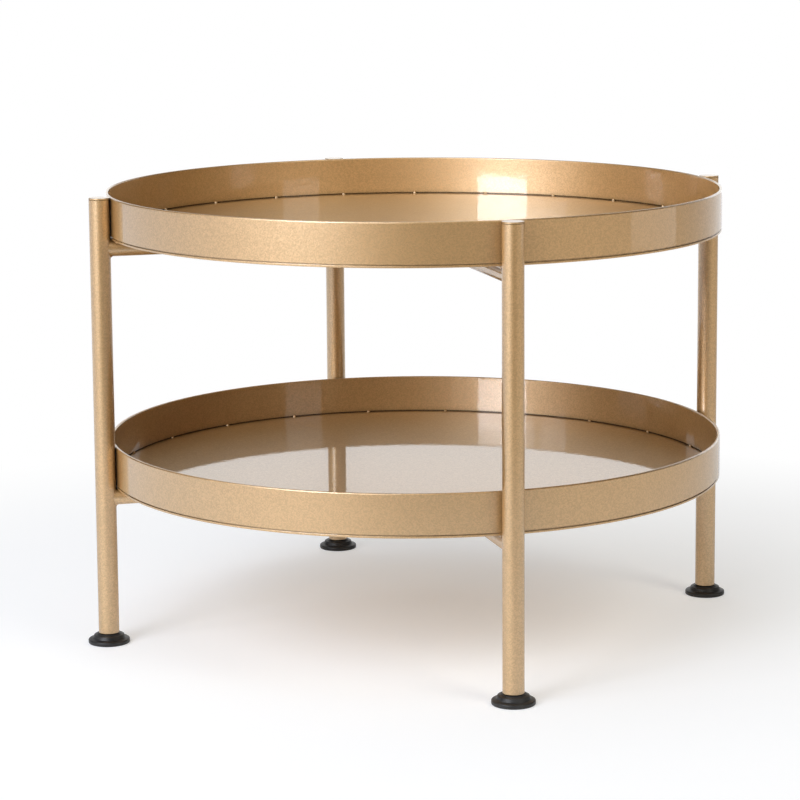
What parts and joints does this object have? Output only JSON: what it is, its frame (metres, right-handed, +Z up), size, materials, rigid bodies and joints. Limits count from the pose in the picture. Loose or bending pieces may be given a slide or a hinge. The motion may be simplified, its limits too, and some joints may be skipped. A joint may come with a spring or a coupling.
{
  "type": "coffee table",
  "caption": "Round tiered metal coffee table: rimmed trays on crossed tube braces between tube legs, with screw-in levelling feet.",
  "frame": {"origin": "on the floor under the middle of the table", "axes": "+Z up along the axis of the trays, +X to the right leg, +Y to the back leg"},
  "size_m": [0.66, 0.66, 0.433],
  "materials": {
    "gold_paint": "gold metallic lacquer over steel, fine flake under a glossy clear coat",
    "plated_steel": "zinc plated",
    "black_plastic": "black moulded plastic, satin"
  },
  "bodies": {
    "frame": {"upper_tray_disc": "gold_paint", "upper_tray_rim": "gold_paint", "upper_tray_tack_welds": "gold_paint", "upper_tray_stitch_welds": "gold_paint", "upper_cross_tube": "gold_paint", "upper_half_brace_back": "gold_paint", "upper_half_brace_front": "gold_paint", "upper_cross_beads": "gold_paint", "upper_brace_weld_right": "gold_paint", "upper_brace_weld_back": "gold_paint", "upper_brace_weld_left": "gold_paint", "upper_brace_weld_front": "gold_paint", "lower_tray_disc": "gold_paint", "lower_tray_rim": "gold_paint", "lower_tray_tack_welds": "gold_paint", "lower_tray_stitch_welds": "gold_paint", "lower_cross_tube": "gold_paint", "lower_half_brace_back": "gold_paint", "lower_half_brace_front": "gold_paint", "lower_cross_beads": "gold_paint", "lower_brace_weld_right": "gold_paint", "lower_brace_weld_back": "gold_paint", "lower_brace_weld_left": "gold_paint", "lower_brace_weld_front": "gold_paint", "leg_right": "gold_paint", "leg_cap_right": "gold_paint", "leg_back": "gold_paint", "leg_cap_back": "gold_paint", "leg_left": "gold_paint", "leg_cap_left": "gold_paint", "leg_front": "gold_paint", "leg_cap_front": "gold_paint", "leg_insert_right": "plated_steel", "leg_insert_back": "plated_steel", "leg_insert_left": "plated_steel", "leg_insert_front": "plated_steel"},
    "foot_right": {"foot_pad_right": "black_plastic"},
    "stud_right": {"foot_stud_right": "plated_steel"},
    "foot_back": {"foot_pad_back": "black_plastic"},
    "stud_back": {"foot_stud_back": "plated_steel"},
    "foot_left": {"foot_pad_left": "black_plastic"},
    "stud_left": {"foot_stud_left": "plated_steel"},
    "foot_front": {"foot_pad_front": "black_plastic"},
    "stud_front": {"foot_stud_front": "plated_steel"}
  },
  "joints": [
    {"name": "foot_right_travel", "type": "slide", "parent": "frame", "child": "foot_right", "axis": [0, 0, -1], "range_m": [0, 0.008]},
    {"name": "foot_right_turn", "type": "hinge", "parent": "foot_right", "child": "stud_right", "pos_m": [0.31002, 0, 0], "axis": [0, 0, -1], "range_deg": [0, 2304]},
    {"name": "foot_back_travel", "type": "slide", "parent": "frame", "child": "foot_back", "axis": [0, 0, -1], "range_m": [0, 0.008]},
    {"name": "foot_back_turn", "type": "hinge", "parent": "foot_back", "child": "stud_back", "pos_m": [0, 0.31002, 0], "axis": [0, 0, -1], "range_deg": [0, 2304]},
    {"name": "foot_left_travel", "type": "slide", "parent": "frame", "child": "foot_left", "axis": [0, 0, -1], "range_m": [0, 0.008]},
    {"name": "foot_left_turn", "type": "hinge", "parent": "foot_left", "child": "stud_left", "pos_m": [-0.31002, 0, 0], "axis": [0, 0, -1], "range_deg": [0, 2304]},
    {"name": "foot_front_travel", "type": "slide", "parent": "frame", "child": "foot_front", "axis": [0, 0, -1], "range_m": [0, 0.008]},
    {"name": "foot_front_turn", "type": "hinge", "parent": "foot_front", "child": "stud_front", "pos_m": [0, -0.31002, 0], "axis": [0, 0, -1], "range_deg": [0, 2304]}
  ],
  "couplings": [
    {"joint": "foot_right_travel", "follows": "foot_right_turn", "m_per_rad": 0.00019894},
    {"joint": "foot_back_travel", "follows": "foot_back_turn", "m_per_rad": 0.00019894},
    {"joint": "foot_left_travel", "follows": "foot_left_turn", "m_per_rad": 0.00019894},
    {"joint": "foot_front_travel", "follows": "foot_front_turn", "m_per_rad": 0.00019894}
  ]
}
